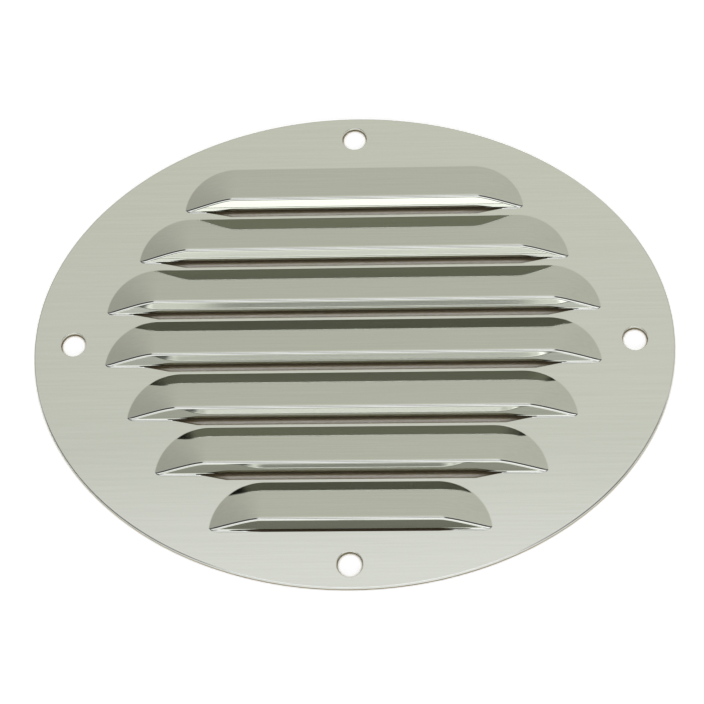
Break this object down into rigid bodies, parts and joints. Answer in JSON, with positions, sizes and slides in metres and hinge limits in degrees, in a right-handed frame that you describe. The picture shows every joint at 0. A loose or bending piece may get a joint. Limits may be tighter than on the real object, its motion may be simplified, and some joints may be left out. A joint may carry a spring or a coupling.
{
  "type": "oval louvre vent",
  "caption": "Oval air vent plate pressed from polished stainless sheet, with rows of hooded louvres that open downwards and plain screw holes at the ends of both axes.",
  "frame": {"origin": "centre of the oval on the plate's flat back face", "axes": "+X along the long axis of the oval, +Y towards the top of the plate with the louvres opening towards -Y, +Z out of the front"},
  "size_m": [0.127, 0.1016, 0.0043],
  "materials": {
    "polished_steel": "bright polished stainless steel"
  },
  "bodies": {
    "root": {"vent_plate": "polished_steel"}
  },
  "joints": []
}
